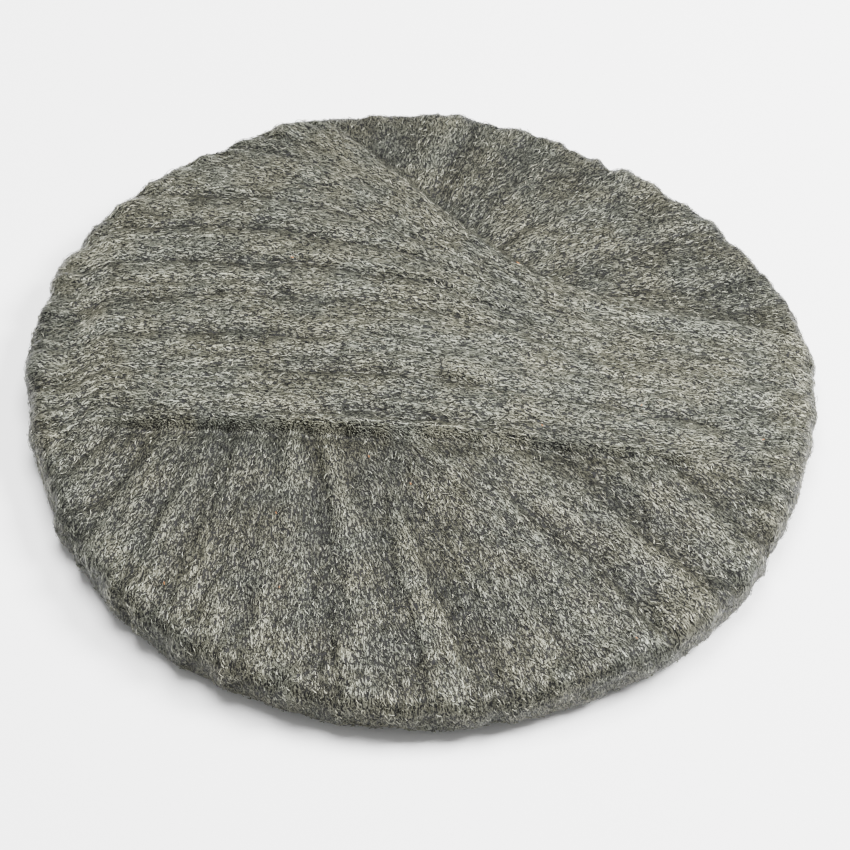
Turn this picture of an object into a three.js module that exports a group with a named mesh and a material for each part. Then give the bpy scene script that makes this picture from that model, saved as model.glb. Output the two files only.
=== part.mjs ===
// Round steel wool floor pad, in millimetres, +Z up and lying on z = 0. One ribbon of wool is laid
// straight across the middle again and again, each pass turned from the last, and folds over the rim.
// The solid is a lathed cushion whose vertices are then moved by the passes that show on its top.
import * as THREE from 'three';

// Driving sizes of the cushion. The rim is a squared-off half round, as deep as given.
const PAD_RADIUS = 215;
const EDGE_THICKNESS = 28;
const RIM_DEPTH = 13;
const RIM_SQUARENESS = 2.8;
const CROWN_RISE = 4;
const STEEL_WOOL = { color: 0x75756b, roughness: 0.6, metalness: 0.7 };

// Steps of the lathe round the pad, and along its profile over the base, the rim and the top.
const STEPS_ROUND = 128;
const STEPS_BASE = 3;
const STEPS_RIM = 10;
const STEPS_TOP = 18;

// Where the folds over the rim push the round outline out, or leave it nearly straight: the bearing
// in degrees, how far out in millimetres, and how far round it reaches in degrees.
const OUTLINE_BULGES = [
  { bearing: 25, out: 4, reach: 15 },
  { bearing: 57, out: -8, reach: 18 },
  { bearing: 165, out: 3, reach: 22 },
  { bearing: 198, out: -5, reach: 15 },
  { bearing: 300, out: -3, reach: 18 },
  { bearing: 343, out: -6, reach: 10 },
];

// The lower passes fan out in folds, in front of the last pass and behind it, each from its own hub.
const FRONT_FAN = { x: -75, y: 100, folds: 22 };
const BACK_FAN = { x: -30, y: 40, folds: 18 };
const FAN_FOLD_HEIGHT = 0.9;

// The front edge of the pass laid from the back left to the front right: a low step with a groove.
const FRONT_RIGHT_EDGE = { x: -20, y: -40, bearing: -49, rise: 2.4, width: 6, groove: 3 };

// The last pass lies straight across. Its front edge is a ledge that droops at its left end, and its
// back edge is a crest that runs steeply up to the back left and nearly level to the right.
const LEDGE = { y: -39, middleX: -40, droop: 0.0002, endX: -183, endDrop: 12, width: 5 };
const CREST = { x: 60, y: 69, leftSlope: -1.05, rightSlope: -0.1, bend: 18, width: 10 };
const LAST_PASS = { rise: 5, strandHeight: 0.7, strandSpacing: 27 };
const WAIST_HUMP = { x: 20, y: 55, height: 3, reach: 85 };

// How much of the relief is left where the passes fold over the rim.
const RELIEF_AT_RIM = 0.35;

/** Goes smoothly from 0 to 1 as distance goes from -width to width. */
const step = (distance, width) => THREE.MathUtils.smoothstep(distance, -width, width);

/** A rounded ramp: 0 well below zero, and the value itself well above it. */
const ramp = (value, softness) => softness * Math.log1p(Math.exp(value / softness));

/** Radius of the outline at an angle in radians. */
function outlineRadius(angle) {
  return OUTLINE_BULGES.reduce((radius, { bearing, out, reach }) => {
    const turn = angle - THREE.MathUtils.degToRad(bearing);
    const nearness = (Math.cos(turn) - 1) / THREE.MathUtils.degToRad(reach) ** 2;
    return radius + out * Math.exp(nearness);
  }, PAD_RADIUS);
}

/** Distance of a point behind the last pass's front edge. */
function behindLedge(x, y) {
  const droop = LEDGE.droop * (x - LEDGE.middleX) ** 2;
  const endDrop = LEDGE.endDrop * step(LEDGE.endX - x, LEDGE.endDrop);
  return y - (LEDGE.y - droop - endDrop);
}

/** Distance of a point in front of the last pass's back edge. */
function beforeCrest(x, y) {
  const climb = (CREST.rightSlope - CREST.leftSlope) * ramp(CREST.x - x, CREST.bend);
  return CREST.y + CREST.rightSlope * (x - CREST.x) + climb - y;
}

/** Distance of a point behind and right of the front right pass's edge. */
function pastFrontRightEdge(x, y) {
  const turn = THREE.MathUtils.degToRad(FRONT_RIGHT_EDGE.bearing);
  return (y - FRONT_RIGHT_EDGE.y) * Math.cos(turn) - (x - FRONT_RIGHT_EDGE.x) * Math.sin(turn);
}

/** Height of a fan's folds at a point. */
function fanFolds(fan, x, y) {
  return FAN_FOLD_HEIGHT * Math.sin(fan.folds * Math.atan2(y - fan.y, x - fan.x));
}

/** Height of the lower passes above the plain cushion. */
function lowerRelief(x, y) {
  if (behindLedge(x, y) > 0) return fanFolds(BACK_FAN, x, y);
  const past = pastFrontRightEdge(x, y);
  const groove = FRONT_RIGHT_EDGE.groove * Math.exp(-((past / FRONT_RIGHT_EDGE.width) ** 2));
  return fanFolds(FRONT_FAN, x, y) + FRONT_RIGHT_EDGE.rise * step(past, FRONT_RIGHT_EDGE.width) - groove;
}

/** Height of all the passes above the plain cushion. */
function passRelief(x, y) {
  const behind = behindLedge(x, y);
  const covered = step(behind, LEDGE.width) * step(beforeCrest(x, y), CREST.width);
  const strands = LAST_PASS.strandHeight * Math.sin((2 * Math.PI * behind) / LAST_PASS.strandSpacing);
  const fromHump = Math.hypot(x - WAIST_HUMP.x, y - WAIST_HUMP.y) / WAIST_HUMP.reach;
  const hump = WAIST_HUMP.height * Math.exp(-(fromHump ** 2));
  return THREE.MathUtils.lerp(lowerRelief(x, y), LAST_PASS.rise + strands + hump, covered);
}

/** Half a superellipse, from 0 at its lower end to 1 at its widest point and back to 0. */
function rimBulge(height) {
  return (1 - Math.abs(height) ** RIM_SQUARENESS) ** (1 / RIM_SQUARENESS);
}

/** Profile from the middle of the flat base, round the rim, to the middle of the top. */
function cushionProfile() {
  const halfThickness = EDGE_THICKNESS / 2;
  const flatRadius = PAD_RADIUS - RIM_DEPTH;
  const points = [];
  for (let i = 0; i < STEPS_BASE; i += 1) {
    points.push(new THREE.Vector2((flatRadius * i) / STEPS_BASE, 0));
  }
  for (let i = 0; i < STEPS_RIM; i += 1) {
    const height = -Math.cos((Math.PI * i) / STEPS_RIM);
    points.push(new THREE.Vector2(flatRadius + RIM_DEPTH * rimBulge(height), halfThickness * (1 + height)));
  }
  for (let i = 0; i <= STEPS_TOP; i += 1) {
    const share = 1 - i / STEPS_TOP;
    points.push(new THREE.Vector2(flatRadius * share, EDGE_THICKNESS + CROWN_RISE * (1 - share ** 2)));
  }
  return points;
}

/** Spreads a vertex to the outline. */
function spreadVertex(vertex) {
  const spread = outlineRadius(Math.atan2(vertex.y, vertex.x)) / PAD_RADIUS;
  return vertex.set(vertex.x * spread, vertex.y * spread, vertex.z);
}

/** Lifts a vertex by the passes, by how far up the cushion it is. */
function liftVertex(vertex) {
  const outwards = Math.hypot(vertex.x, vertex.y) / PAD_RADIUS;
  const fade = THREE.MathUtils.lerp(1, RELIEF_AT_RIM, THREE.MathUtils.smoothstep(outwards, 0.6, 1));
  vertex.z += passRelief(vertex.x, vertex.y) * fade * Math.min(vertex.z / EDGE_THICKNESS, 1);
  return vertex;
}

/** Moves every vertex of a geometry. */
function moveVertices(geometry, move) {
  const places = geometry.getAttribute('position');
  const vertex = new THREE.Vector3();
  for (let i = 0; i < places.count; i += 1) {
    move(vertex.fromBufferAttribute(places, i));
    places.setXYZ(i, vertex.x, vertex.y, vertex.z);
  }
}

/** The whole pad as one closed geometry, with the middle of its box over the origin. */
function padGeometry() {
  const geometry = new THREE.LatheGeometry(cushionProfile(), STEPS_ROUND).rotateX(Math.PI / 2);
  moveVertices(geometry, spreadVertex);
  geometry.computeBoundingBox();
  const middle = geometry.boundingBox.getCenter(new THREE.Vector3());
  geometry.translate(-middle.x, -middle.y, 0);
  moveVertices(geometry, liftVertex);
  geometry.computeVertexNormals();
  return geometry;
}

const pad = new THREE.Mesh(padGeometry(), new THREE.MeshStandardMaterial(STEEL_WOOL));
pad.name = 'steel_wool_pad';

const root = new THREE.Group();
root.add(pad);

export default root;
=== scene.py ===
"""Round steel wool floor pad: one ribbon of wool laid across itself in turned passes.

The pad's mat is one closed mesh whose skin follows the passes, and thousands of curled fibres lie
in and on it. Every length is in metres, every angle in radians unless its name says degrees.
"""
import logging
import math
from collections.abc import Callable
from dataclasses import dataclass, field
from enum import Enum

import bmesh
import bpy
import numpy as np
from bpy.types import ID, Material, Mesh, Node, NodeSocket, Object
from mathutils import Matrix, Vector


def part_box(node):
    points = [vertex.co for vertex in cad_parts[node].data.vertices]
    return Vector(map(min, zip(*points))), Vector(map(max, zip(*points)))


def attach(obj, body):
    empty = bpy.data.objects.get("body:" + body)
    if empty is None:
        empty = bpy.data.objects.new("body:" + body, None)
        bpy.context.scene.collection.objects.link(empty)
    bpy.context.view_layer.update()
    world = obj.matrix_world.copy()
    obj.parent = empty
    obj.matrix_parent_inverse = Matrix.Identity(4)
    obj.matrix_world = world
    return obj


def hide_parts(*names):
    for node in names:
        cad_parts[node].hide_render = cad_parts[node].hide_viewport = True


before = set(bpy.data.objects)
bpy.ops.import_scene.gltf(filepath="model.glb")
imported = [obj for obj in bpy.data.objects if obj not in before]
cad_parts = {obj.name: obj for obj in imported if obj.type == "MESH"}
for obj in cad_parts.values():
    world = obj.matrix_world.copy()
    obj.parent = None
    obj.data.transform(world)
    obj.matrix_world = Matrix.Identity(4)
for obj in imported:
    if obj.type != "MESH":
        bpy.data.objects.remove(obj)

LOG = logging.getLogger("steel_wool_pad")
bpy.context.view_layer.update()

MM = 0.001
NODE = "steel_wool_pad"
BODY = "root"
LAY_ATTRIBUTE = "lay"
# Mesh attribute of painted shade in the creases, in the lower passes and on the rim's wall.
CREASE_SHADE_ATTRIBUTE = "crease"
BAKE_MAP = "OFBake"
MAP_MARGIN = 1.06

Array = np.ndarray
Arrays = tuple[Array, Array]
Pair = tuple[float, float]
Colour = tuple[float, float, float, float]


def smooth_step(value: Array, low: float, high: float) -> Array:
    """Goes smoothly from 0 at low to 1 at high.

    Args:
        value: The numbers to grade.
        low: Where the step starts.
        high: Where the step ends.

    Returns:
        The graded numbers, from 0 to 1.
    """
    share = np.clip((value - low) / (high - low), 0.0, 1.0)
    return share * share * (3.0 - 2.0 * share)


def ramp(value: Array, softness: float) -> Array:
    """Rounded ramp: 0 well below zero, and the value itself well above it.

    Args:
        value: The numbers to bend.
        softness: How wide the bend is.

    Returns:
        The bent numbers.
    """
    return softness * np.logaddexp(0.0, value / softness)


class PlaneNoise:
    """Smooth repeatable noise on a plane, between -1 and 1, with features one unit across."""

    def __init__(self, seed: int, side: int = 256) -> None:
        """Draws the random heights from a seed; they come round again after side features."""
        self._side = side
        self._heights = np.random.default_rng(seed).uniform(-1.0, 1.0, (side, side))

    def at(self, across: Array, along: Array) -> Array:
        """Height of the noise.

        Args:
            across: First coordinate, in features.
            along: Second coordinate, in features.

        Returns:
            Heights between -1 and 1.
        """
        column = np.floor(across).astype(int)
        row = np.floor(along).astype(int)
        right = smooth_step(across - column, 0.0, 1.0)
        up = smooth_step(along - row, 0.0, 1.0)
        heights, side = self._heights, self._side
        left_low = heights[row % side, column % side]
        right_low = heights[row % side, (column + 1) % side]
        left_high = heights[(row + 1) % side, column % side]
        right_high = heights[(row + 1) % side, (column + 1) % side]
        low = left_low + (right_low - left_low) * right
        high = left_high + (right_high - left_high) * right
        return low + (high - low) * up


# ---- How the ribbon lies ----


def valley(aside: Array, width: float) -> Array:
    """Depth of a soft valley, or height of a mound: 1 along its middle and 0 beside it."""
    return np.exp(-((aside / width) ** 2))


@dataclass(frozen=True)
class Fan:
    """Strands that spread out from a hub, with evenly turned valleys between the folds."""

    hub: Pair
    first_degrees: float
    step_degrees: float
    count: int
    depth: float
    width: float
    seed: int
    straying: float = 0.3
    weakest: float = 0.3
    least_width: float = 0.5

    def heading(self, x: Array, y: Array) -> Arrays:
        """Unit direction of the strands, away from the hub."""
        out_x, out_y = x - self.hub[0], y - self.hub[1]
        distance = np.maximum(np.hypot(out_x, out_y), MM)
        return out_x / distance, out_y / distance

    def creased(self, x: Array, y: Array, sway: Array) -> Array:
        """Depth of the valleys between the folds.

        Args:
            x: Places on the plan.
            y: Places on the plan.
            sway: How far the valleys are pushed aside at each place.

        Returns:
            The depths.
        """
        dice = np.random.default_rng(self.seed)
        along_x, along_y = x - self.hub[0], y - self.hub[1]
        deepest = np.zeros_like(x)
        for number in range(self.count):
            stray = dice.uniform(-self.straying, self.straying)
            turn = math.radians(self.first_degrees + self.step_degrees * (number + stray))
            strength = dice.uniform(self.weakest, 1.0)
            aside = along_y * math.cos(turn) - along_x * math.sin(turn) + sway
            ahead = along_x * math.cos(turn) + along_y * math.sin(turn) > 0
            width = self.width * (self.least_width + strength)
            depth = self.depth * strength * valley(aside, width)
            deepest = np.maximum(deepest, ahead * depth)
        return deepest


FRONT_FAN = Fan(
    hub=(-75 * MM, 100 * MM),
    first_degrees=-117,
    step_degrees=8.2,
    count=7,
    depth=1.8 * MM,
    width=5 * MM,
    seed=4,
)
RIGHT_FAN = Fan(
    hub=(-400 * MM, 420 * MM),
    first_degrees=-50.4,
    step_degrees=2.9,
    count=4,
    depth=2.2 * MM,
    width=4.5 * MM,
    seed=9,
)
BACK_FAN = Fan(
    hub=(-30 * MM, 40 * MM),
    first_degrees=11,
    step_degrees=15.5,
    count=6,
    depth=1.3 * MM,
    width=4 * MM,
    seed=2,
)


@dataclass(frozen=True)
class LastPass:
    """The pass laid last, straight across: its front edge is a ledge, its back edge a crest."""

    ledge_y: float = -39 * MM
    middle_x: float = -40 * MM
    droop: float = 0.2
    end_x: float = -183 * MM
    end_drop: float = 12 * MM
    ledge_width: float = 3.5 * MM
    undercut: float = 2.0 * MM
    undercut_width: float = 6 * MM
    crest: Pair = (60 * MM, 69 * MM)
    left_slope: float = -1.05
    right_slope: float = -0.1
    bend: float = 18 * MM
    crest_width: float = 8 * MM
    rise: float = 5 * MM
    hump: Pair = (20 * MM, 55 * MM)
    hump_reach: float = 85 * MM
    hump_height: float = 3 * MM
    gather: float = 5.0
    gather_reach: float = 23 * MM
    strand_spacing: float = 27 * MM
    first_groove: float = 10 * MM
    groove_depth: float = 2.3 * MM
    groove_width: float = 3.4 * MM
    groove_fade: Pair = (-20 * MM, 130 * MM)
    faded: float = 0.6
    groove_count: int = 16
    weakest_groove: float = 0.3
    groove_seed: int = 6

    @property
    def highest(self) -> float:
        """Height of the pass above the plain cushion on its hump."""
        return self.rise + self.hump_height

    @property
    def square_on(self) -> float:
        """Distance from the crest's steep part for each unit of distance along y."""
        return math.cos(math.atan(self.left_slope))

    def behind(self, x: Array, y: Array) -> Array:
        """Distance behind the ledge."""
        droop = self.droop * (x - self.middle_x) ** 2
        end_drop = self.end_drop * smooth_step(self.end_x - x, -self.end_drop, self.end_drop)
        return y - (self.ledge_y - droop - end_drop)

    def before(self, x: Array, y: Array) -> Array:
        """Distance in front of the crest, measured along y."""
        climb = (self.right_slope - self.left_slope) * ramp(self.crest[0] - x, self.bend)
        return self.crest[1] + self.right_slope * (x - self.crest[0]) + climb - y

    def _across(self, x: Array, y: Array) -> Array:
        """Label of the strand through a point: level near the ledge, along the crest near it."""
        inside = np.maximum(self.before(x, y), -self.gather_reach) * self.square_on
        near_crest = self.gather * self.gather_reach * np.exp(-inside / self.gather_reach)
        return self.behind(x, y) + near_crest

    def heading(self, x: Array, y: Array) -> Arrays:
        """Unit direction of the strands, towards the right."""
        reach = 0.5 * MM
        slope_x = self._across(x + reach, y) - self._across(x - reach, y)
        slope_y = self._across(x, y + reach) - self._across(x, y - reach)
        size = np.maximum(np.hypot(slope_x, slope_y), 1e-9)
        return slope_y / size, -slope_x / size

    def creased(self, x: Array, y: Array, sway: Array) -> Array:
        """Depth of the grooves between the strands, which grow shallow towards the right.

        Args:
            x: Places on the plan.
            y: Places on the plan.
            sway: How far the grooves are pushed aside at each place.

        Returns:
            The depths.
        """
        label = self._across(x, y) + sway - self.first_groove
        number = np.round(label / self.strand_spacing).astype(int)
        dice = np.random.default_rng(self.groove_seed)
        strengths = dice.uniform(self.weakest_groove, 1.0, self.groove_count)
        fade = 1 - self.faded * smooth_step(x, *self.groove_fade)
        groove = valley(label - number * self.strand_spacing, self.groove_width)
        return self.groove_depth * fade * strengths[number % self.groove_count] * groove

    def cover(self, x: Array, y: Array) -> Array:
        """1 where this pass lies on top, 0 where the lower ones show."""
        front = smooth_step(self.behind(x, y), -self.ledge_width, self.ledge_width)
        return front * smooth_step(self.before(x, y), -self.crest_width, self.crest_width)

    def top(self, x: Array, y: Array) -> Array:
        """Height of the pass above the plain cushion."""
        away = np.hypot(x - self.hump[0], y - self.hump[1])
        return self.rise + self.hump_height * valley(away, self.hump_reach)

    def pressed(self, x: Array, y: Array) -> Array:
        """Depth to which the ledge and the crest press the wool beside them down."""
        front = self.behind(x, y) + self.ledge_width
        back = (self.before(x, y) + self.crest_width) * self.square_on
        width = self.undercut_width
        return self.undercut * (valley(front, width) + valley(back, 2 * width))


@dataclass(frozen=True)
class RightPass:
    """The pass under the last one, laid to the front right: a low step over the front fan."""

    edge: Pair = (-20 * MM, -40 * MM)
    bearing_degrees: float = -48.7
    rise: float = 2.4 * MM
    width: float = 6 * MM

    def cover(self, x: Array, y: Array) -> Array:
        """1 where this pass lies on the front fan."""
        turn = math.radians(self.bearing_degrees)
        past = (y - self.edge[1]) * math.cos(turn) - (x - self.edge[0]) * math.sin(turn)
        return smooth_step(past, -self.width, self.width)


@dataclass(frozen=True)
class Rope:
    """One grade of strand in the wool: its length, width and height."""

    length: float
    width: float
    height: float


class CombedNoise:
    """Noise on a face's plan that is combed out along the strands into long ropes."""

    HALF_SIDE = 250 * MM
    CELLS_PER_WIDTH = 4
    LAST_CELL = 1.001

    def __init__(self, rope: Rope, heading: Callable, seed: int) -> None:
        """Combs the noise.

        Args:
            rope: The grade of strand.
            heading: Gives the unit direction of the strands at places on the plan.
            seed: Seed of the noise.
        """
        cells = round(2 * self.HALF_SIDE * self.CELLS_PER_WIDTH / rope.width)
        self._pitch = 2 * self.HALF_SIDE / cells
        line = np.linspace(-self.HALF_SIDE, self.HALF_SIDE, cells + 1)
        start_x, start_y = np.meshgrid(line, line)
        noise = PlaneNoise(seed)
        total = noise.at(start_x / rope.width, start_y / rope.width)
        stride = rope.width / 2
        for way in (-1, 1):
            x, y = start_x, start_y
            for _ in range(round(rope.length / 2 / stride)):
                step_x, step_y = heading(x, y)
                x, y = x + way * stride * step_x, y + way * stride * step_y
                total = total + noise.at(x / rope.width, y / rope.width)
        self._table = (total - total.mean()) / total.std()

    def at(self, x: Array, y: Array) -> Array:
        """Reads the combed noise, which has a mean of 0 and a spread of 1."""
        last = self._table.shape[0] - self.LAST_CELL
        column = np.clip((x + self.HALF_SIDE) / self._pitch, 0, last)
        row = np.clip((y + self.HALF_SIDE) / self._pitch, 0, last)
        left, low = column.astype(int), row.astype(int)
        right, up = column - left, row - low
        lower = self._table[low, left] * (1 - right) + self._table[low, left + 1] * right
        upper = self._table[low + 1, left] * (1 - right) + self._table[low + 1, left + 1] * right
        return lower * (1 - up) + upper * up


@dataclass
class Lay:
    """How the passes lie on one face of the pad, on the face's own flat plan."""

    seed: int
    turn_degrees: float = 0.0
    last: LastPass = LastPass()
    right: RightPass = RightPass()
    ropes: tuple[Rope, ...] = (
        Rope(170 * MM, 13 * MM, 0.85 * MM),
        Rope(80 * MM, 6 * MM, 0.55 * MM),
        Rope(36 * MM, 3 * MM, 0.2 * MM),
    )
    sway: float = 2.8 * MM
    sway_length: float = 34 * MM
    # Painted shade: depth added to the creases for each metre the relief lies below the hump's top.
    shade: float = 0.2
    rope_steepness: float = 1.8
    rope_level: float = 1.5
    rope_cap: float = 2.0
    last_shows: float = 0.5
    lower_shows: float = 0.25
    combed: list[list[CombedNoise]] = field(init=False)

    def __post_init__(self) -> None:
        """Combs the ropes of each layer."""
        self.combed = [
            [
                CombedNoise(rope, layer.heading, 100 * self.seed + 10 * place + grade)
                for grade, rope in enumerate(self.ropes)
            ]
            for place, layer in enumerate(self._layers())
        ]

    def _layers(self) -> tuple[LastPass, Fan, Fan, Fan]:
        """The layers: the last pass, the right pass's strands, the front and the back fan."""
        return self.last, RIGHT_FAN, FRONT_FAN, BACK_FAN

    def _turned(self, x: Array, y: Array, back: bool = False) -> Arrays:
        """Turns places or directions from the face's plan to the passes' own, or back."""
        turn = math.radians(self.turn_degrees) * (-1 if back else 1)
        return (
            x * math.cos(turn) - y * math.sin(turn),
            x * math.sin(turn) + y * math.cos(turn),
        )

    def _shares(self, x: Array, y: Array) -> tuple[Array, Array, Array, Array]:
        """Share of each layer at each place, in the order of the layers."""
        last = self.last.cover(x, y)
        in_front = 1 - smooth_step(self.last.behind(x, y), -MM, MM)
        right = (1 - last) * in_front * self.right.cover(x, y)
        return last, right, (1 - last) * in_front - right, (1 - last) * (1 - in_front)

    def heading(self, x: Array, y: Array) -> Arrays:
        """Unit direction of the strands that show at each place."""
        x, y = self._turned(x, y)
        last, right, front, _ = self._shares(x, y)
        least = self.lower_shows
        chosen = [last > self.last_shows, right > np.maximum(front, least), front > least]
        headings = zip(*(layer.heading(x, y) for layer in self._layers()), strict=True)
        along_x, along_y = [np.select(chosen, parts[:3], parts[3]) for parts in headings]
        return self._turned(along_x, along_y, back=True)

    def relief(self, x: Array, y: Array) -> Array:
        """Height of the passes above the plain cushion, without their creases."""
        x, y = self._turned(x, y)
        last, right, _, _ = self._shares(x, y)
        pressed = (1 - last) * self.last.pressed(x, y)
        return last * self.last.top(x, y) + right * self.right.rise - pressed

    def creased(self, x: Array, y: Array) -> Array:
        """Depth of the creases between the folds and the strands of each layer."""
        x, y = self._turned(x, y)
        sway = PlaneNoise(self.seed).at(x / self.sway_length, y / self.sway_length) * self.sway
        depth = np.zeros_like(x)
        for share, layer in zip(self._shares(x, y), self._layers(), strict=True):
            depth += share * layer.creased(x, y, sway)
        return depth

    def roping(self, x: Array, y: Array) -> Array:
        """Height of the strands themselves: rounded ropes with sharp creases between them."""
        x, y = self._turned(x, y)
        height = np.zeros_like(x)
        for share, grades in zip(self._shares(x, y), self.combed, strict=True):
            for rope, noise in zip(self.ropes, grades, strict=True):
                crease = np.sqrt(np.minimum(np.abs(noise.at(x, y)), self.rope_cap))
                height += share * rope.height * (self.rope_steepness * crease - self.rope_level)
        return height

    def shaded(self, x: Array, y: Array) -> Array:
        """Painted shade, as a depth added to the creases: the lower the pass, the darker its tone.
        """
        return self.shade * (self.last.highest - self.relief(x, y))

    def stand(self, x: Array, y: Array) -> Array:
        """Strand height less crease depth and painted shade: low where the wool is painted dark."""
        return self.roping(x, y) - self.creased(x, y) - self.shaded(x, y)


# ---- The cushion ----


@dataclass(frozen=True)
class Bulge:
    """A place where the folds push the round outline out, or leave it nearly straight."""

    bearing_degrees: float
    out: float
    reach_degrees: float

    def at(self, bearing: Array) -> Array:
        """How far out the bulge pushes the outline at a bearing, in metres."""
        turn = bearing - math.radians(self.bearing_degrees)
        return self.out * np.exp((np.cos(turn) - 1) / math.radians(self.reach_degrees) ** 2)


class Face(Enum):
    """The two faces of the pad that a fibre can be drawn on."""

    TOP = "top"
    UNDER = "under"


@dataclass
class Cushion:
    """The pad's form: a round cushion with a flat base, a squared-off rim and a low crown.

    A place on it is a bearing and a run, which is the distance from the middle of the top
    along the skin, over the rim and back to the middle of the base.
    """

    width: float
    height: float
    edge_share: float = 0.694
    crown_share: float = 0.099
    rim_depth: float = 13 * MM
    rim_squareness: float = 2.8
    nominal_radius: float = 215 * MM
    bulges: tuple[Bulge, ...] = (
        Bulge(25, 4 * MM, 15),
        Bulge(57, -8 * MM, 18),
        Bulge(165, 3 * MM, 22),
        Bulge(198, -5 * MM, 15),
        Bulge(300, -3 * MM, 18),
        Bulge(343, -6 * MM, 10),
    )
    top: Lay = field(default_factory=lambda: Lay(seed=11))
    under: Lay = field(default_factory=lambda: Lay(seed=23, turn_degrees=128))
    relief_at_rim: float = 0.35
    relief_fade: Pair = (0.6, 1.0)
    base_relief: float = 0.35
    base_give: float = 0.5
    lump_width: float = 9 * MM
    lump_length: float = 16 * MM
    lump_height: float = 2.4 * MM
    lump_seed: int = 5
    # Painted shade on the rim's wall: a depth taken off the strands' height for the tone.
    wall_shade: float = 1.6 * MM
    face_blend: Pair = (-0.7, 0.7)
    free_range: Pair = (-0.9, 0.0)
    points_round: int = 721
    points_face: int = 60
    points_rim: int = 200
    radius: float = field(init=False)
    centre: Pair = field(init=False)
    profile: Array = field(init=False)

    def __post_init__(self) -> None:
        """Fits the radius to the width, finds the middle of the outline, and draws the profile."""
        bearings = np.linspace(0.0, math.tau, self.points_round)
        spread = self.spread(bearings)
        xs, ys = spread * np.cos(bearings), spread * np.sin(bearings)
        self.radius = self.width / (xs.max() - xs.min())
        self.centre = (
            self.radius * (xs.max() + xs.min()) / 2,
            self.radius * (ys.max() + ys.min()) / 2,
        )
        self.profile = self._profile()

    @property
    def edge(self) -> float:
        """Thickness of the pad at its rim."""
        return self.edge_share * self.height

    @property
    def flat(self) -> float:
        """Run at which the top turns into the rim."""
        return self.radius - self.rim_depth

    @property
    def half_run(self) -> float:
        """Run to the outermost line of the rim."""
        return self.profile[0, -1] / 2

    def _profile(self) -> Array:
        """Draws the plain profile, from the middle of the top to the middle of the base.

        Returns:
            Rows of the run, the distance out, the height, and the skin's direction out and up.
        """
        top = np.linspace(0.0, self.flat, self.points_face)
        crown = self.crown_share * self.height * (1 - (top / self.flat) ** 2)
        level = np.cos(np.linspace(0.0, math.pi, self.points_rim))
        square = self.rim_squareness
        bulge = (1 - np.abs(level) ** square) ** (1 / square)
        side = bulge ** (square - 1) / self.rim_depth
        up = np.sign(level) * np.abs(level) ** (square - 1) / (self.edge / 2)
        size = np.hypot(side, up)
        base = top[::-1]
        out = np.concatenate([top, self.flat + self.rim_depth * bulge[1:-1], base])
        height = np.concatenate(
            [self.edge + crown, self.edge / 2 * (1 + level[1:-1]), np.zeros_like(base)]
        )
        side = np.concatenate([np.zeros_like(top), (side / size)[1:-1], np.zeros_like(base)])
        up = np.concatenate([np.ones_like(top), (up / size)[1:-1], -np.ones_like(base)])
        run = np.concatenate([[0.0], np.cumsum(np.hypot(np.diff(out), np.diff(height)))])
        return np.stack([run, out, height, side, up])

    def spread(self, bearing: Array) -> Array:
        """How far out the outline lies at a bearing, as a share of the radius."""
        return 1 + sum(bulge.at(bearing) for bulge in self.bulges) / self.nominal_radius

    def section(self, run: Array) -> tuple[Array, Array, Array, Array]:
        """Reads the plain profile: distance out, height, and the skin's direction out and up."""
        runs, *columns = self.profile
        out, height, side, up = [np.interp(run, runs, column) for column in columns]
        return out, height, side, up

    def plan(self, face: Face, bearing: Array, run: Array) -> Arrays:
        """Places on a face's flat plan, which carries on over the rim."""
        near = self.face_run(face, run) * self.spread(bearing)
        return near * np.cos(bearing) - self.centre[0], near * np.sin(bearing) - self.centre[1]

    def skin(self, bearing: Array, run: Array, lift: Array) -> Arrays:
        """Places on the skin, with the passes, strands and lumps of the wool.

        Args:
            bearing: Bearings of the places.
            run: Runs of the places, from the middle of the top.
            lift: How far each place stands off the skin.

        Returns:
            An array of places, and how high the strands stand there, less the painted shade of the
            creases, the lower passes and the rim's wall.
        """
        out, height, side, up = self.section(run)
        upper = smooth_step(up, *self.face_blend)
        top = self.plan(Face.TOP, bearing, run)
        base = self.plan(Face.UNDER, bearing, run)
        top_crease, base_crease = self.top.creased(*top), self.under.creased(*base)
        ropes = upper * self.top.roping(*top) + (1 - upper) * self.under.roping(*base)

        outer = smooth_step(out / self.radius, *self.relief_fade)
        fade = 1 - (1 - self.relief_at_rim) * outer
        rise = self.top.relief(*top) * fade * np.minimum(height / self.edge, 1.0) - top_crease
        sunk = np.maximum(self.under.last.highest - self.under.relief(*base) + base_crease, 0.0)
        rise = rise * upper + (1 - upper) * self.base_relief * sunk

        lump_count = round(math.tau * self.radius / self.lump_width)
        lumps = PlaneNoise(self.lump_seed, lump_count).at(
            bearing / math.tau * lump_count, run / self.lump_length
        )
        at_rim = smooth_step(out, self.flat - 2 * self.rim_depth, self.radius)
        raised = ropes + self.lump_height * lumps * at_rim
        free = smooth_step(up, *self.free_range)
        stand = lift + free * raised + (1 - free) * self.base_give * np.minimum(raised, 0.0)
        reach = out * self.spread(bearing) + side * stand
        places = np.stack(
            [
                reach * np.cos(bearing) - self.centre[0],
                reach * np.sin(bearing) - self.centre[1],
                np.maximum(height + rise + up * stand, 0.0),
            ],
            axis=-1,
        )
        # Painted shade for the tone: creases, lower passes and the rim's wall count as lower.
        top_shade = top_crease + self.top.shaded(*top)
        base_shade = base_crease + self.under.shaded(*base)
        # Painted shade, deepest at the rim's widest line.
        wall = self.wall_shade * (1 - np.abs(up))
        return places, ropes - upper * top_shade - (1 - upper) * base_shade - wall

    def face_run(self, face: Face, run: Array) -> Array:
        """Turns a run from the middle of the top into one from a face's middle, or back."""
        return run if face is Face.TOP else 2 * self.half_run - run

    def lay_on(self, face: Face) -> Lay:
        """The lay of the passes on a face."""
        return self.top if face is Face.TOP else self.under


# ---- Shader maths ----


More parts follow.
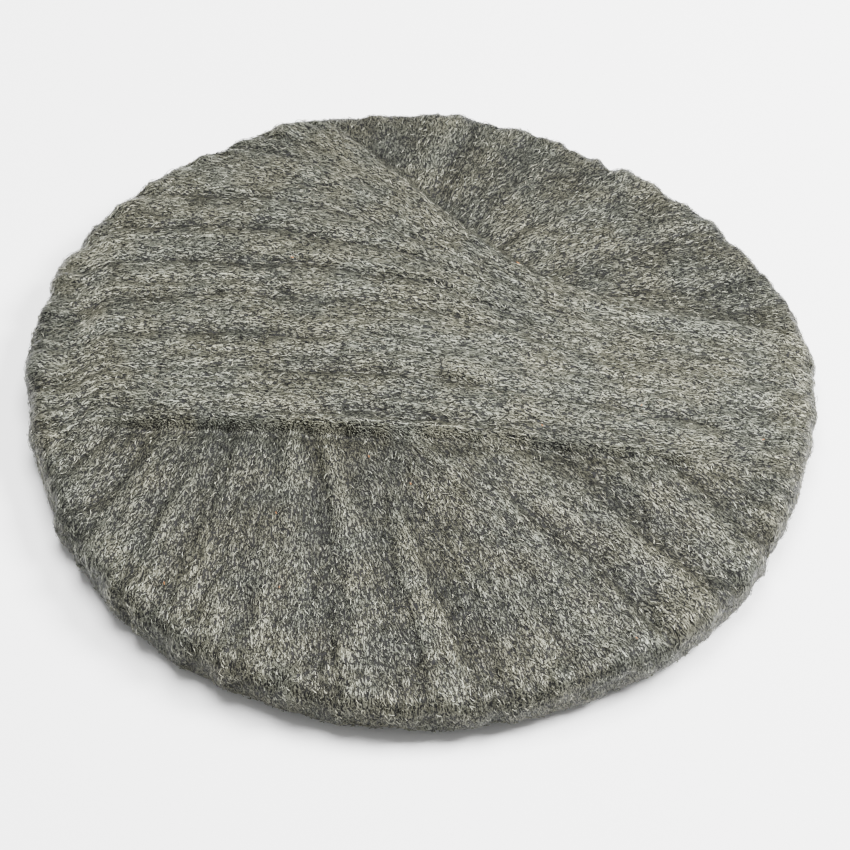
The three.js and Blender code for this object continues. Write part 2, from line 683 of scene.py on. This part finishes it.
class Value:
    """A shader number that takes part in Python sums: each sum adds its Math node."""

    def __init__(self, sheet: "ShaderSheet", socket: NodeSocket) -> None:
        """Wraps a socket of a sheet."""
        self.sheet = sheet
        self.socket = socket

    def _maths(self, operation: str, first: "Value | float", second: "Value | float") -> "Value":
        """Adds a Math node on two values."""
        node = self.sheet.node("ShaderNodeMath", {"operation": operation}, {0: first, 1: second})
        return Value(self.sheet, node.outputs[0])

    def __add__(self, other: "Value | float") -> "Value":
        """self + other."""
        return self._maths("ADD", self, other)

    def __radd__(self, other: float) -> "Value":
        """other + self."""
        return self._maths("ADD", other, self)

    def __sub__(self, other: "Value | float") -> "Value":
        """self - other."""
        return self._maths("SUBTRACT", self, other)

    def __rsub__(self, other: float) -> "Value":
        """other - self."""
        return self._maths("SUBTRACT", other, self)

    def __mul__(self, other: "Value | float") -> "Value":
        """self * other."""
        return self._maths("MULTIPLY", self, other)

    def __rmul__(self, other: float) -> "Value":
        """other * self."""
        return self._maths("MULTIPLY", other, self)

    def __abs__(self) -> "Value":
        """Size of the value, without its sign."""
        return self._maths("ABSOLUTE", self, 0.0)


class ShaderSheet:
    """A material's nodes, with one method that adds any node."""

    NOISE_ROUGHNESS = 0.55

    def __init__(self, name: str) -> None:
        """Makes a material with a Principled shader and nothing else."""
        self.material = bpy.data.materials.new(name)
        self.material.use_nodes = True
        self.tree = self.material.node_tree
        self.shader = next(n for n in self.tree.nodes if n.type == "BSDF_PRINCIPLED")

    def node(self, kind: str, settings: dict, inputs: dict) -> Node:
        """Adds a node.

        Args:
            kind: The node's type.
            settings: Its own settings, set first.
            inputs: Values or links of its sockets, by name or number.

        Returns:
            The node.
        """
        node = self.tree.nodes.new(kind)
        for name, setting in settings.items():
            setattr(node, name, setting)
        for key, given in inputs.items():
            self.feed(node.inputs[key], given)
        return node

    def feed(self, socket: NodeSocket, given: object) -> None:
        """Links a value or socket to a socket, or sets a plain number or colour on it."""
        source = given.socket if isinstance(given, Value) else given
        if isinstance(source, NodeSocket):
            self.tree.links.new(source, socket)
        else:
            socket.default_value = source

    def painted(self, inputs: dict) -> Material:
        """Feeds the Principled shader's inputs, by name, and gives the material."""
        for name, given in inputs.items():
            self.feed(self.shader.inputs[name], given)
        return self.material

    def vector(
        self, operation: str, first: object, second: object = None, scale: object = None
    ) -> NodeSocket:
        """Adds a Vector Math node and gives its vector."""
        inputs = {0: first}
        if second is not None:
            inputs[1] = second
        if scale is not None:
            inputs["Scale"] = scale
        return self.node("ShaderNodeVectorMath", {"operation": operation}, inputs).outputs[0]

    def noise(self, place: object, size: float, detail: float = 0.0) -> Node:
        """Adds a Noise node with features of a size."""
        inputs = {"Vector": place, "Scale": 1.0 / size, "Detail": detail}
        inputs["Roughness"] = self.NOISE_ROUGHNESS
        return self.node("ShaderNodeTexNoise", {"noise_dimensions": "3D"}, inputs)

    def mix(self, share: object, low: object, high: object) -> NodeSocket:
        """Mixes two colours and gives the result."""
        node = self.node("ShaderNodeMix", {"data_type": "RGBA"}, {0: share, 6: low, 7: high})
        return node.outputs[2]

    def graded(self, value: object, low: float, high: float) -> Value:
        """Grades a value smoothly from 0 at low to 1 at high."""
        node = self.node(
            "ShaderNodeMapRange",
            {"interpolation_type": "SMOOTHSTEP"},
            {0: value, 1: low, 2: high, 3: 0.0, 4: 1.0},
        )
        return Value(self, node.outputs[0])

    def place(self) -> NodeSocket:
        """The Object coordinates."""
        return self.node("ShaderNodeTexCoord", {}, {}).outputs["Object"]

    def attribute(self, name: str, output: str) -> NodeSocket:
        """An attribute of the mesh."""
        return self.node("ShaderNodeAttribute", {"attribute_name": name}, {}).outputs[output]


@dataclass(frozen=True)
class MatFinish:
    """The felted mat under the loose fibres: thin bright fibre lines over near-black gaps of
    painted shade.
    """

    # Near-black painted shade in the gaps between the mat's fibres.
    gap_shade: Colour = (0.004, 0.004, 0.004, 1.0)
    warm: Colour = (0.222, 0.218, 0.155, 1.0)
    cool: Colour = (0.182, 0.191, 0.152, 1.0)
    felt_size: float = 0.7 * MM
    felt_range: Pair = (0.49, 0.535)
    line_size: float = 1.3 * MM
    line_share: float = 0.035
    line_weight: float = 0.35
    # How far the painted crease shade darkens the fibres.
    crease_shade: float = 0.55
    taps: int = 5
    tap_step: float = 0.75
    curl_size: float = 3.5 * MM
    curl: float = 1.1
    tint_size: float = 32 * MM
    tint_range: Pair = (0.35, 0.65)
    gap_roughness: float = 0.6
    fibre_polish: float = 0.22
    metallic: float = 0.7
    bump_height: float = 1.3 * MM

    def combed(self, sheet: ShaderSheet, place: object, heading: object, size: float) -> Value:
        """Fine noise smeared along the fibres.

        Args:
            sheet: The material's nodes.
            place: The Object coordinates.
            heading: Direction of the fibres.
            size: Width of the noise's features.

        Returns:
            A number round 0.5, drawn out along the fibres.
        """
        total: Value | float = 0.0
        for tap in range(self.taps):
            reach = (tap - (self.taps - 1) / 2) * self.tap_step * size
            shift = sheet.vector("SCALE", heading, scale=reach)
            spot = sheet.noise(sheet.vector("ADD", place, shift), size)
            total = Value(sheet, spot.outputs["Fac"]) * (1.0 / self.taps) + total
        return total

    def material(self, name: str) -> Material:
        """Builds the material."""
        sheet = ShaderSheet(name)
        place = sheet.place()
        lay = sheet.attribute(LAY_ATTRIBUTE, "Vector")
        # The painted crease shade, read from the mesh.
        crease = Value(sheet, sheet.attribute(CREASE_SHADE_ATTRIBUTE, "Fac"))
        curl = sheet.noise(place, self.curl_size, 1.0).outputs["Color"]
        curl = sheet.vector("SUBTRACT", curl, (0.5, 0.5, 0.5))
        curl = sheet.vector("SCALE", curl, scale=self.curl * 2)
        heading = sheet.vector("NORMALIZE", sheet.vector("ADD", lay, curl))
        felt = sheet.graded(self.combed(sheet, place, heading, self.felt_size), *self.felt_range)
        drawn = self.combed(sheet, place, heading, self.line_size)
        line = 1.0 - sheet.graded(abs(drawn - 0.5), 0.0, self.line_share)
        fibre = felt * (1.0 - self.line_weight) + line * self.line_weight
        tint = sheet.noise(place, self.tint_size, 2.0).outputs["Fac"]
        tint = sheet.graded(tint, *self.tint_range)
        tone = sheet.mix(tint, self.cool, self.warm)
        # Painted shade: the fibres darken by the crease shade and are mixed over the near-black
        # painted gap shade.
        colour = sheet.mix(fibre * (1.0 - crease * self.crease_shade), self.gap_shade, tone)
        relief = {"Strength": 1.0, "Distance": self.bump_height, "Height": fibre}
        bump = sheet.node("ShaderNodeBump", {}, relief)
        inputs = {"Base Color": colour, "Normal": bump.outputs[0], "Metallic": self.metallic}
        inputs["Roughness"] = self.gap_roughness - self.fibre_polish * fibre
        return sheet.painted(inputs)


@dataclass(frozen=True)
class FibreFinish:
    """Bare steel fibres of one tone, with slow patches of warm and cool grey."""

    warm: Colour
    cool: Colour
    metallic: float = 0.75
    roughness: float = 0.38
    patch_size: float = 38 * MM
    patch_range: Pair = (0.3, 0.7)

    def material(self, name: str) -> Material:
        """Builds the material."""
        sheet = ShaderSheet(name)
        flat = sheet.vector("MULTIPLY", sheet.place(), (1.0, 1.0, 0.0))
        patch = sheet.graded(sheet.noise(flat, self.patch_size).outputs["Fac"], *self.patch_range)
        colour = sheet.mix(patch, self.cool, self.warm)
        inputs = {"Base Color": colour, "Metallic": self.metallic, "Roughness": self.roughness}
        return sheet.painted(inputs)


# ---- Pieces ----


def linked(name: str, data: ID) -> Object:
    """Adds an object to the scene."""
    thing = bpy.data.objects.new(name, data)
    bpy.context.collection.objects.link(thing)
    return thing


def points_of(mesh: Mesh) -> Array:
    """Places of a mesh's vertices."""
    places = np.empty(len(mesh.vertices) * 3, dtype=np.float32)
    mesh.vertices.foreach_get("co", places)
    return places.reshape(-1, 3)


def corners_of(mesh: Mesh) -> Array:
    """Number of the vertex at each corner of a mesh's faces."""
    corners = np.empty(len(mesh.loops), dtype=np.int32)
    mesh.loops.foreach_get("vertex_index", corners)
    return corners


def store_map(mesh: Mesh, places: Array) -> None:
    """Stores the UV map, one place for each corner of the mesh's faces."""
    layer = mesh.uv_layers.new(name=BAKE_MAP)
    layer.data.foreach_set("uv", places.astype(np.float32).ravel())


def declare(piece: Object) -> None:
    """Puts a finished piece in the frame: it rides on the body, and the CAD node is hidden."""
    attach(piece, BODY)
    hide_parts(NODE)


def report(piece: Object) -> None:
    """Logs a piece with its number of triangles."""
    triangles = sum(len(polygon.vertices) - 2 for polygon in piece.data.polygons)
    LOG.info("%s: %d triangles", piece.name, triangles)


@dataclass
class WoolMat:
    """The felted mat: one closed skin of even triangles, finer on top than underneath."""

    cushion: Cushion
    finish: MatFinish = MatFinish()
    subdivisions: int = 7
    fine_down_to: float = 0.12
    area_steps: int = 600
    # Depths over which the painted crease shade grows from none to full.
    crease_shade_depths: Pair = (0.2 * MM, 3.0 * MM)
    top_disc: float = 0.352
    base_disc: float = 0.232

    def _run_of(self, polar: Array) -> Array:
        """Run of each vertex of a unit ball, so that equal areas of the ball stay equal."""
        runs = np.linspace(0.0, 2 * self.cushion.half_run, self.area_steps)
        out = self.cushion.section(runs)[0]
        ring_areas = (out[1:] + out[:-1]) / 2 * np.diff(runs)
        share = np.concatenate([[0.0], np.cumsum(ring_areas)])
        share /= share[-1]
        return np.interp((1 - np.cos(polar)) / 2, share, runs)

    def _ball(self) -> Mesh:
        """A ball of even triangles, with its upper half subdivided once more."""
        mesh = bpy.data.meshes.new("wool_mat")
        ball = bmesh.new()
        bmesh.ops.create_icosphere(ball, subdivisions=self.subdivisions, radius=1.0)
        upper = [
            edge
            for edge in ball.edges
            if edge.verts[0].co.z + edge.verts[1].co.z > 2 * self.fine_down_to
        ]
        bmesh.ops.subdivide_edges(ball, edges=upper, cuts=1, use_grid_fill=True)
        bmesh.ops.triangulate(ball, faces=[f for f in ball.faces if len(f.verts) > 3])
        ball.to_mesh(mesh)
        ball.free()
        return mesh

    def _store(self, mesh: Mesh, name: str, kind: str, values: Array) -> None:
        """Stores an attribute on the mesh's points."""
        attribute = mesh.attributes.new(name, kind, "POINT")
        key = "vector" if kind == "FLOAT_VECTOR" else "value"
        attribute.data.foreach_set(key, np.ascontiguousarray(values, dtype=np.float32).ravel())

    def _lay_vectors(self, bearing: Array, run: Array) -> Array:
        """Direction of the strands in space at each vertex, found from two nearby places."""
        vectors = np.zeros((len(run), 3))
        for face in Face:
            chosen = (run <= self.cushion.half_run) == (face is Face.TOP)
            here, near = bearing[chosen], self.cushion.face_run(face, run[chosen])
            heading = self.cushion.lay_on(face).heading(*self.cushion.plan(face, here, run[chosen]))
            ahead_x = near * np.cos(here) + MM * heading[0]
            ahead_y = near * np.sin(here) + MM * heading[1]
            there = np.arctan2(ahead_y, ahead_x)
            ahead = self.cushion.face_run(face, np.hypot(ahead_x, ahead_y))
            places = []
            for turn, distance in ((here, run[chosen]), (there, ahead)):
                out, height, _, _ = self.cushion.section(distance)
                places.append(np.stack([out * np.cos(turn), out * np.sin(turn), height], axis=-1))
            step = places[1] - places[0]
            vectors[chosen] = step / np.maximum(np.linalg.norm(step, axis=1), 1e-9)[:, None]
        return vectors

    def _map(self, mesh: Mesh, bearing: Array, run: Array) -> None:
        """Lays the skin out as two discs, the top's larger, that meet under the rim."""
        corners = corners_of(mesh)
        half = self.cushion.half_run
        on_top = np.repeat(run[corners].reshape(-1, 3).mean(axis=1) <= half, 3)
        near = np.where(on_top, run[corners], 2 * half - run[corners])
        size = np.where(on_top, self.top_disc, self.base_disc) / (half * MAP_MARGIN)
        middle = np.where(on_top, self.top_disc, 1 - self.base_disc)
        turn = bearing[corners]
        across, along = near * size * np.cos(turn), near * size * np.sin(turn)
        store_map(mesh, np.stack([middle + across, middle + along], axis=-1))

    def build(self) -> Object:
        """Builds and dresses the mat.

        Returns:
            The finished piece.
        """
        mesh = self._ball()
        ball = points_of(mesh).astype(float)
        ball /= np.linalg.norm(ball, axis=1)[:, None]
        bearing = np.arctan2(ball[:, 1], ball[:, 0])
        run = self._run_of(np.arccos(np.clip(ball[:, 2], -1.0, 1.0)))
        places, stand = self.cushion.skin(bearing, run, np.zeros_like(run))
        mesh.vertices.foreach_set("co", places.astype(np.float32).ravel())
        # Painted shade of the creases, lower passes and rim wall, stored for the mat's colour.
        crease = smooth_step(-stand, *self.crease_shade_depths)
        self._store(mesh, CREASE_SHADE_ATTRIBUTE, "FLOAT", crease)
        self._store(mesh, LAY_ATTRIBUTE, "FLOAT_VECTOR", self._lay_vectors(bearing, run))
        self._map(mesh, bearing, run)
        mesh.shade_smooth()
        mesh.update()
        piece = linked("wool_mat", mesh)
        mesh.materials.append(self.finish.material("felted_mat"))
        declare(piece)
        return piece


@dataclass(frozen=True)
class Curl:
    """How a kind of fibre is drawn: its size, how it wanders and how far it stands off."""

    radius: float
    links: int
    link: float
    wander_degrees: float
    swing_degrees: Pair
    wave: Pair
    lift: Pair
    bob: float


@dataclass
class FibreSet:
    """A few thousand curled fibres of one tone, lying along the strands of one face."""

    name: str
    cushion: Cushion
    finish: FibreFinish
    curl: Curl
    face: Face
    count: int
    seed: int
    runs: Pair = (0.0, 1.0)
    # Painted light and shade: positive pulls the fibres onto high crests, negative into the creases
    # and lower passes.
    crest_light_bias: float = 0.0
    section_sides: int = 3
    spare: int = 3
    link_spread: Pair = (0.7, 1.3)
    bob_stretch: float = 1.7
    bob_shift: int = 3
    end_width: float = 0.45

    def _starts(self, dice: np.random.Generator) -> Arrays:
        """Draws the fibres' middles on the plan, by the bias towards lit crests or painted shade.
        """
        low, high = self.runs[0] * self.cushion.half_run, self.runs[1] * self.cushion.half_run
        run = np.sqrt(dice.uniform(low**2, high**2, self.count * self.spare))
        bearing = dice.uniform(-math.pi, math.pi, self.count * self.spare)
        plan = self.cushion.plan(self.face, bearing, self.cushion.face_run(self.face, run))
        # Low in the creases and the lower passes, which carry painted shade.
        height = self.cushion.lay_on(self.face).stand(*plan)
        score = self.crest_light_bias * height / MM + dice.normal(0.0, 1.0, len(run))
        kept = np.sort(np.argsort(-score)[: self.count])
        return run[kept] * np.cos(bearing[kept]), run[kept] * np.sin(bearing[kept])

    def _paths(self) -> Array:
        """Works out the points of every fibre.

        Returns:
            An array of fibres, points and coordinates.
        """
        dice = np.random.default_rng(self.seed)
        x, y = self._starts(dice)
        middles = self.cushion.face_run(self.face, np.hypot(x, y))
        plan = self.cushion.plan(self.face, np.arctan2(y, x), middles)
        head_x, head_y = self.cushion.lay_on(self.face).heading(*plan)
        steps = np.arange(self.curl.links + 1) - self.curl.links / 2
        shape = (self.count, 1)
        heading = np.arctan2(head_y, head_x)[:, None]
        heading = heading + dice.normal(0.0, math.radians(self.curl.wander_degrees), shape)
        swing = np.radians(dice.uniform(*self.curl.swing_degrees, shape))
        wave = dice.uniform(*self.curl.wave, shape)
        start = dice.uniform(0.0, math.tau, shape)
        link = self.curl.link * dice.uniform(*self.link_spread, shape)
        turn = heading + swing * np.sin(math.tau * steps * link / wave + start)
        along_x = np.cumsum(link * np.cos(turn), axis=1)
        along_y = np.cumsum(link * np.sin(turn), axis=1)
        path_x = x[:, None] + along_x - along_x.mean(axis=1, keepdims=True)
        path_y = y[:, None] + along_y - along_y.mean(axis=1, keepdims=True)
        bob = math.tau * steps * link / (wave * self.bob_stretch) + start * self.bob_shift
        lift = dice.uniform(*self.curl.lift, shape) + self.curl.bob * np.sin(bob)
        run = self.cushion.face_run(self.face, np.hypot(path_x, path_y))
        bearing = np.arctan2(path_y, path_x)
        places, _ = self.cushion.skin(bearing.ravel(), run.ravel(), lift.ravel())
        places[:, 2] = np.maximum(places[:, 2], 2 * self.curl.radius)
        return places.reshape(self.count, self.curl.links + 1, 3)

    def _section(self) -> Object:
        """Adds a small closed polygon, the section of a shaved fibre."""
        shape = bpy.data.curves.new("fibre_section", "CURVE")
        line = shape.splines.new("POLY")
        line.points.add(self.section_sides - 1)
        for place, point in enumerate(line.points):
            turn = -math.tau * place / self.section_sides
            radius = self.curl.radius
            point.co = (radius * math.cos(turn), radius * math.sin(turn), 0.0, 1.0)
        line.use_cyclic_u = True
        return linked("fibre_section", shape)

    def _curves(self, paths: Array) -> Object:
        """Draws every fibre as a thin line that narrows at both ends."""
        curve = bpy.data.curves.new(self.name, "CURVE")
        curve.dimensions = "3D"
        curve.bevel_mode = "OBJECT"
        curve.bevel_object = self._section()
        curve.use_fill_caps = True
        points = self.curl.links + 1
        ends = np.ones((len(paths), points, 4), dtype=np.float32)
        ends[:, :, :3] = paths
        taper = np.full(points, 1.0, dtype=np.float32)
        taper[[0, -1]] = self.end_width
        for path in ends:
            line = curve.splines.new("POLY")
            line.points.add(points - 1)
            line.points.foreach_set("co", path.ravel())
            line.points.foreach_set("radius", taper)
        return linked(self.name, curve)

    def _map(self, mesh: Mesh) -> None:
        """Lays the fibres out by their place on the plan, as their patches of tone do."""
        plan = points_of(mesh)[corners_of(mesh), :2]
        store_map(mesh, plan / (self.cushion.width * MAP_MARGIN) + 0.5)

    def build(self) -> Object:
        """Builds and dresses the fibres.

        Returns:
            The finished piece, as one mesh.
        """
        drawn = self._curves(self._paths())
        seen = bpy.context.evaluated_depsgraph_get()
        mesh = bpy.data.meshes.new_from_object(drawn.evaluated_get(seen))
        section = drawn.data.bevel_object
        bpy.data.objects.remove(drawn)
        bpy.data.objects.remove(section)
        for layer in list(mesh.uv_layers):
            mesh.uv_layers.remove(layer)
        self._map(mesh)
        mesh.name = self.name
        mesh.materials.clear()
        mesh.materials.append(self.finish.material(self.name + "_steel"))
        piece = linked(self.name, mesh)
        declare(piece)
        return piece


# ---- Studio ----


@dataclass(frozen=True)
class Lamp:
    """A square soft light that faces the pad."""

    name: str
    place: tuple[float, float, float]
    side: float
    watts: float

    def add(self) -> None:
        """Adds the light to the scene."""
        light = bpy.data.lights.new(self.name, "AREA")
        light.size = self.side
        light.energy = self.watts
        lamp = linked(self.name, light)
        lamp.location = self.place
        lamp.rotation_euler = (-Vector(self.place)).to_track_quat("-Z", "Y").to_euler()


@dataclass(frozen=True)
class Studio:
    """Plain pale floor, soft light from above and from the right, and the camera."""

    elevation_degrees: float = 50.0
    roll_degrees: float = 3.5
    distance: float = 1.6
    focal_mm: float = 125.5
    target: tuple[float, float, float] = (3 * MM, -21 * MM, 18 * MM)
    floor_side: float = 12.0
    floor_white: Colour = (0.95, 0.95, 0.95, 1.0)
    floor_roughness: float = 0.8
    sky: Colour = (1.0, 1.0, 1.0, 1.0)
    ambient: float = 0.5
    lamps: tuple[Lamp, ...] = (
        Lamp("key_light", (1.4, 0.3, 1.5), 0.8, 165.0),
        Lamp("top_light", (-0.1, 0.5, 2.4), 1.5, 200.0),
    )

    def floor(self) -> None:
        """Adds the floor."""
        mesh = bpy.data.meshes.new("floor")
        sheet = bmesh.new()
        bmesh.ops.create_grid(sheet, x_segments=1, y_segments=1, size=self.floor_side / 2)
        sheet.to_mesh(mesh)
        sheet.free()
        paint = {"Base Color": self.floor_white, "Roughness": self.floor_roughness}
        mesh.materials.append(ShaderSheet("pale_floor").painted(paint))
        floor = linked("floor", mesh)

    def camera(self) -> None:
        """Adds the camera, looking down on the pad's front."""
        lens = bpy.data.cameras.new("camera")
        lens.lens = self.focal_mm
        camera = linked("camera", lens)
        rise = math.radians(self.elevation_degrees)
        back = Vector((0.0, -math.cos(rise), math.sin(rise)))
        turn = Matrix.Rotation(math.pi / 2 - rise, 4, "X")
        roll = Matrix.Rotation(math.radians(self.roll_degrees), 4, back)
        place = Matrix.Translation(Vector(self.target) + back * self.distance)
        camera.matrix_world = place @ roll @ turn
        bpy.context.scene.camera = camera

    def build(self) -> None:
        """Sets up the floor, the light and the camera."""
        self.floor()
        self.camera()
        for lamp in self.lamps:
            lamp.add()
        world = bpy.data.worlds.new("soft_white")
        world.use_nodes = True
        background = world.node_tree.nodes["Background"]
        background.inputs["Color"].default_value = self.sky
        background.inputs["Strength"].default_value = self.ambient
        bpy.context.scene.world = world


# ---- The pad ----


class Tone(Enum):
    """Finishes of the loose fibres."""

    PALE = FibreFinish(warm=(0.38, 0.372, 0.285, 1.0), cool=(0.34, 0.35, 0.285, 1.0))
    GREY = FibreFinish(warm=(0.10, 0.099, 0.072, 1.0), cool=(0.086, 0.09, 0.07, 1.0))
    # Near-black fibres that stand in for the shade in the creases and lower passes.
    SHADE_DARK = FibreFinish(warm=(0.007, 0.007, 0.006, 1.0), cool=(0.006, 0.007, 0.006, 1.0))
    RUST = FibreFinish(
        warm=(0.42, 0.17, 0.04, 1.0), cool=(0.36, 0.14, 0.04, 1.0), metallic=0.1, roughness=0.8
    )


SHORT = Curl(
    radius=0.15 * MM,
    links=3,
    link=1.05 * MM,
    wander_degrees=24,
    swing_degrees=(5, 35),
    wave=(4 * MM, 9 * MM),
    lift=(0.0, 0.5 * MM),
    bob=0.35 * MM,
)
TIGHT = Curl(
    radius=0.18 * MM,
    links=4,
    link=0.95 * MM,
    wander_degrees=38,
    swing_degrees=(30, 75),
    wave=(3.5 * MM, 7 * MM),
    lift=(0.0, 0.6 * MM),
    bob=0.4 * MM,
)
WISP = Curl(
    radius=0.16 * MM,
    links=10,
    link=1.5 * MM,
    wander_degrees=28,
    swing_degrees=(15, 60),
    wave=(8 * MM, 18 * MM),
    lift=(0.4 * MM, 1.1 * MM),
    bob=0.8 * MM,
)
SPECK = Curl(
    radius=0.3 * MM,
    links=2,
    link=0.8 * MM,
    wander_degrees=40,
    swing_degrees=(10, 30),
    wave=(3 * MM, 6 * MM),
    lift=(0.5 * MM, 0.8 * MM),
    bob=0.0,
)


def fibre_sets(cushion: Cushion) -> list[FibreSet]:
    """Lists the sets of fibres, each with its tone, its curl and where it lies.

    Args:
        cushion: The pad's form.

    Returns:
        The sets, in the order in which they are made.
    """
    top, under = Face.TOP, Face.UNDER
    pale, grey, dark, rust = (tone.value for tone in (Tone.PALE, Tone.GREY, Tone.SHADE_DARK, Tone.RUST))
    rim = (0.86, 1.08)
    return [
        # Painted light and shade: pale fibres lean to the crests, near-black ones to the creases
        # and lower passes.
        FibreSet("pale_top_fibres", cushion, pale, SHORT, top, 9200, 101, crest_light_bias=0.35),
        FibreSet("grey_top_fibres", cushion, grey, SHORT, top, 6000, 102, crest_light_bias=0.1),
        FibreSet("shade_dark_top_fibres", cushion, dark, SHORT, top, 9200, 103, crest_light_bias=-0.5),
        FibreSet("rim_fibres", cushion, grey, TIGHT, top, 3600, 104, runs=rim),
        FibreSet("under_fibres", cushion, grey, SHORT, under, 4800, 105),
        FibreSet("loose_wisps", cushion, grey, WISP, top, 220, 106, crest_light_bias=0.3),
        FibreSet("rusty_flecks", cushion, rust, SPECK, top, 12, 107),
    ]


def main() -> None:
    """Builds the studio, the mat and the fibres, and reports each piece."""
    logging.basicConfig(level=logging.INFO, format="%(name)s: %(message)s")
    low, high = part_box(NODE)
    cushion = Cushion(width=high[0] - low[0], height=high[2] - low[2])
    Studio().build()
    report(WoolMat(cushion).build())
    for fibres in fibre_sets(cushion):
        report(fibres.build())


if __name__ == "__main__":
    main()
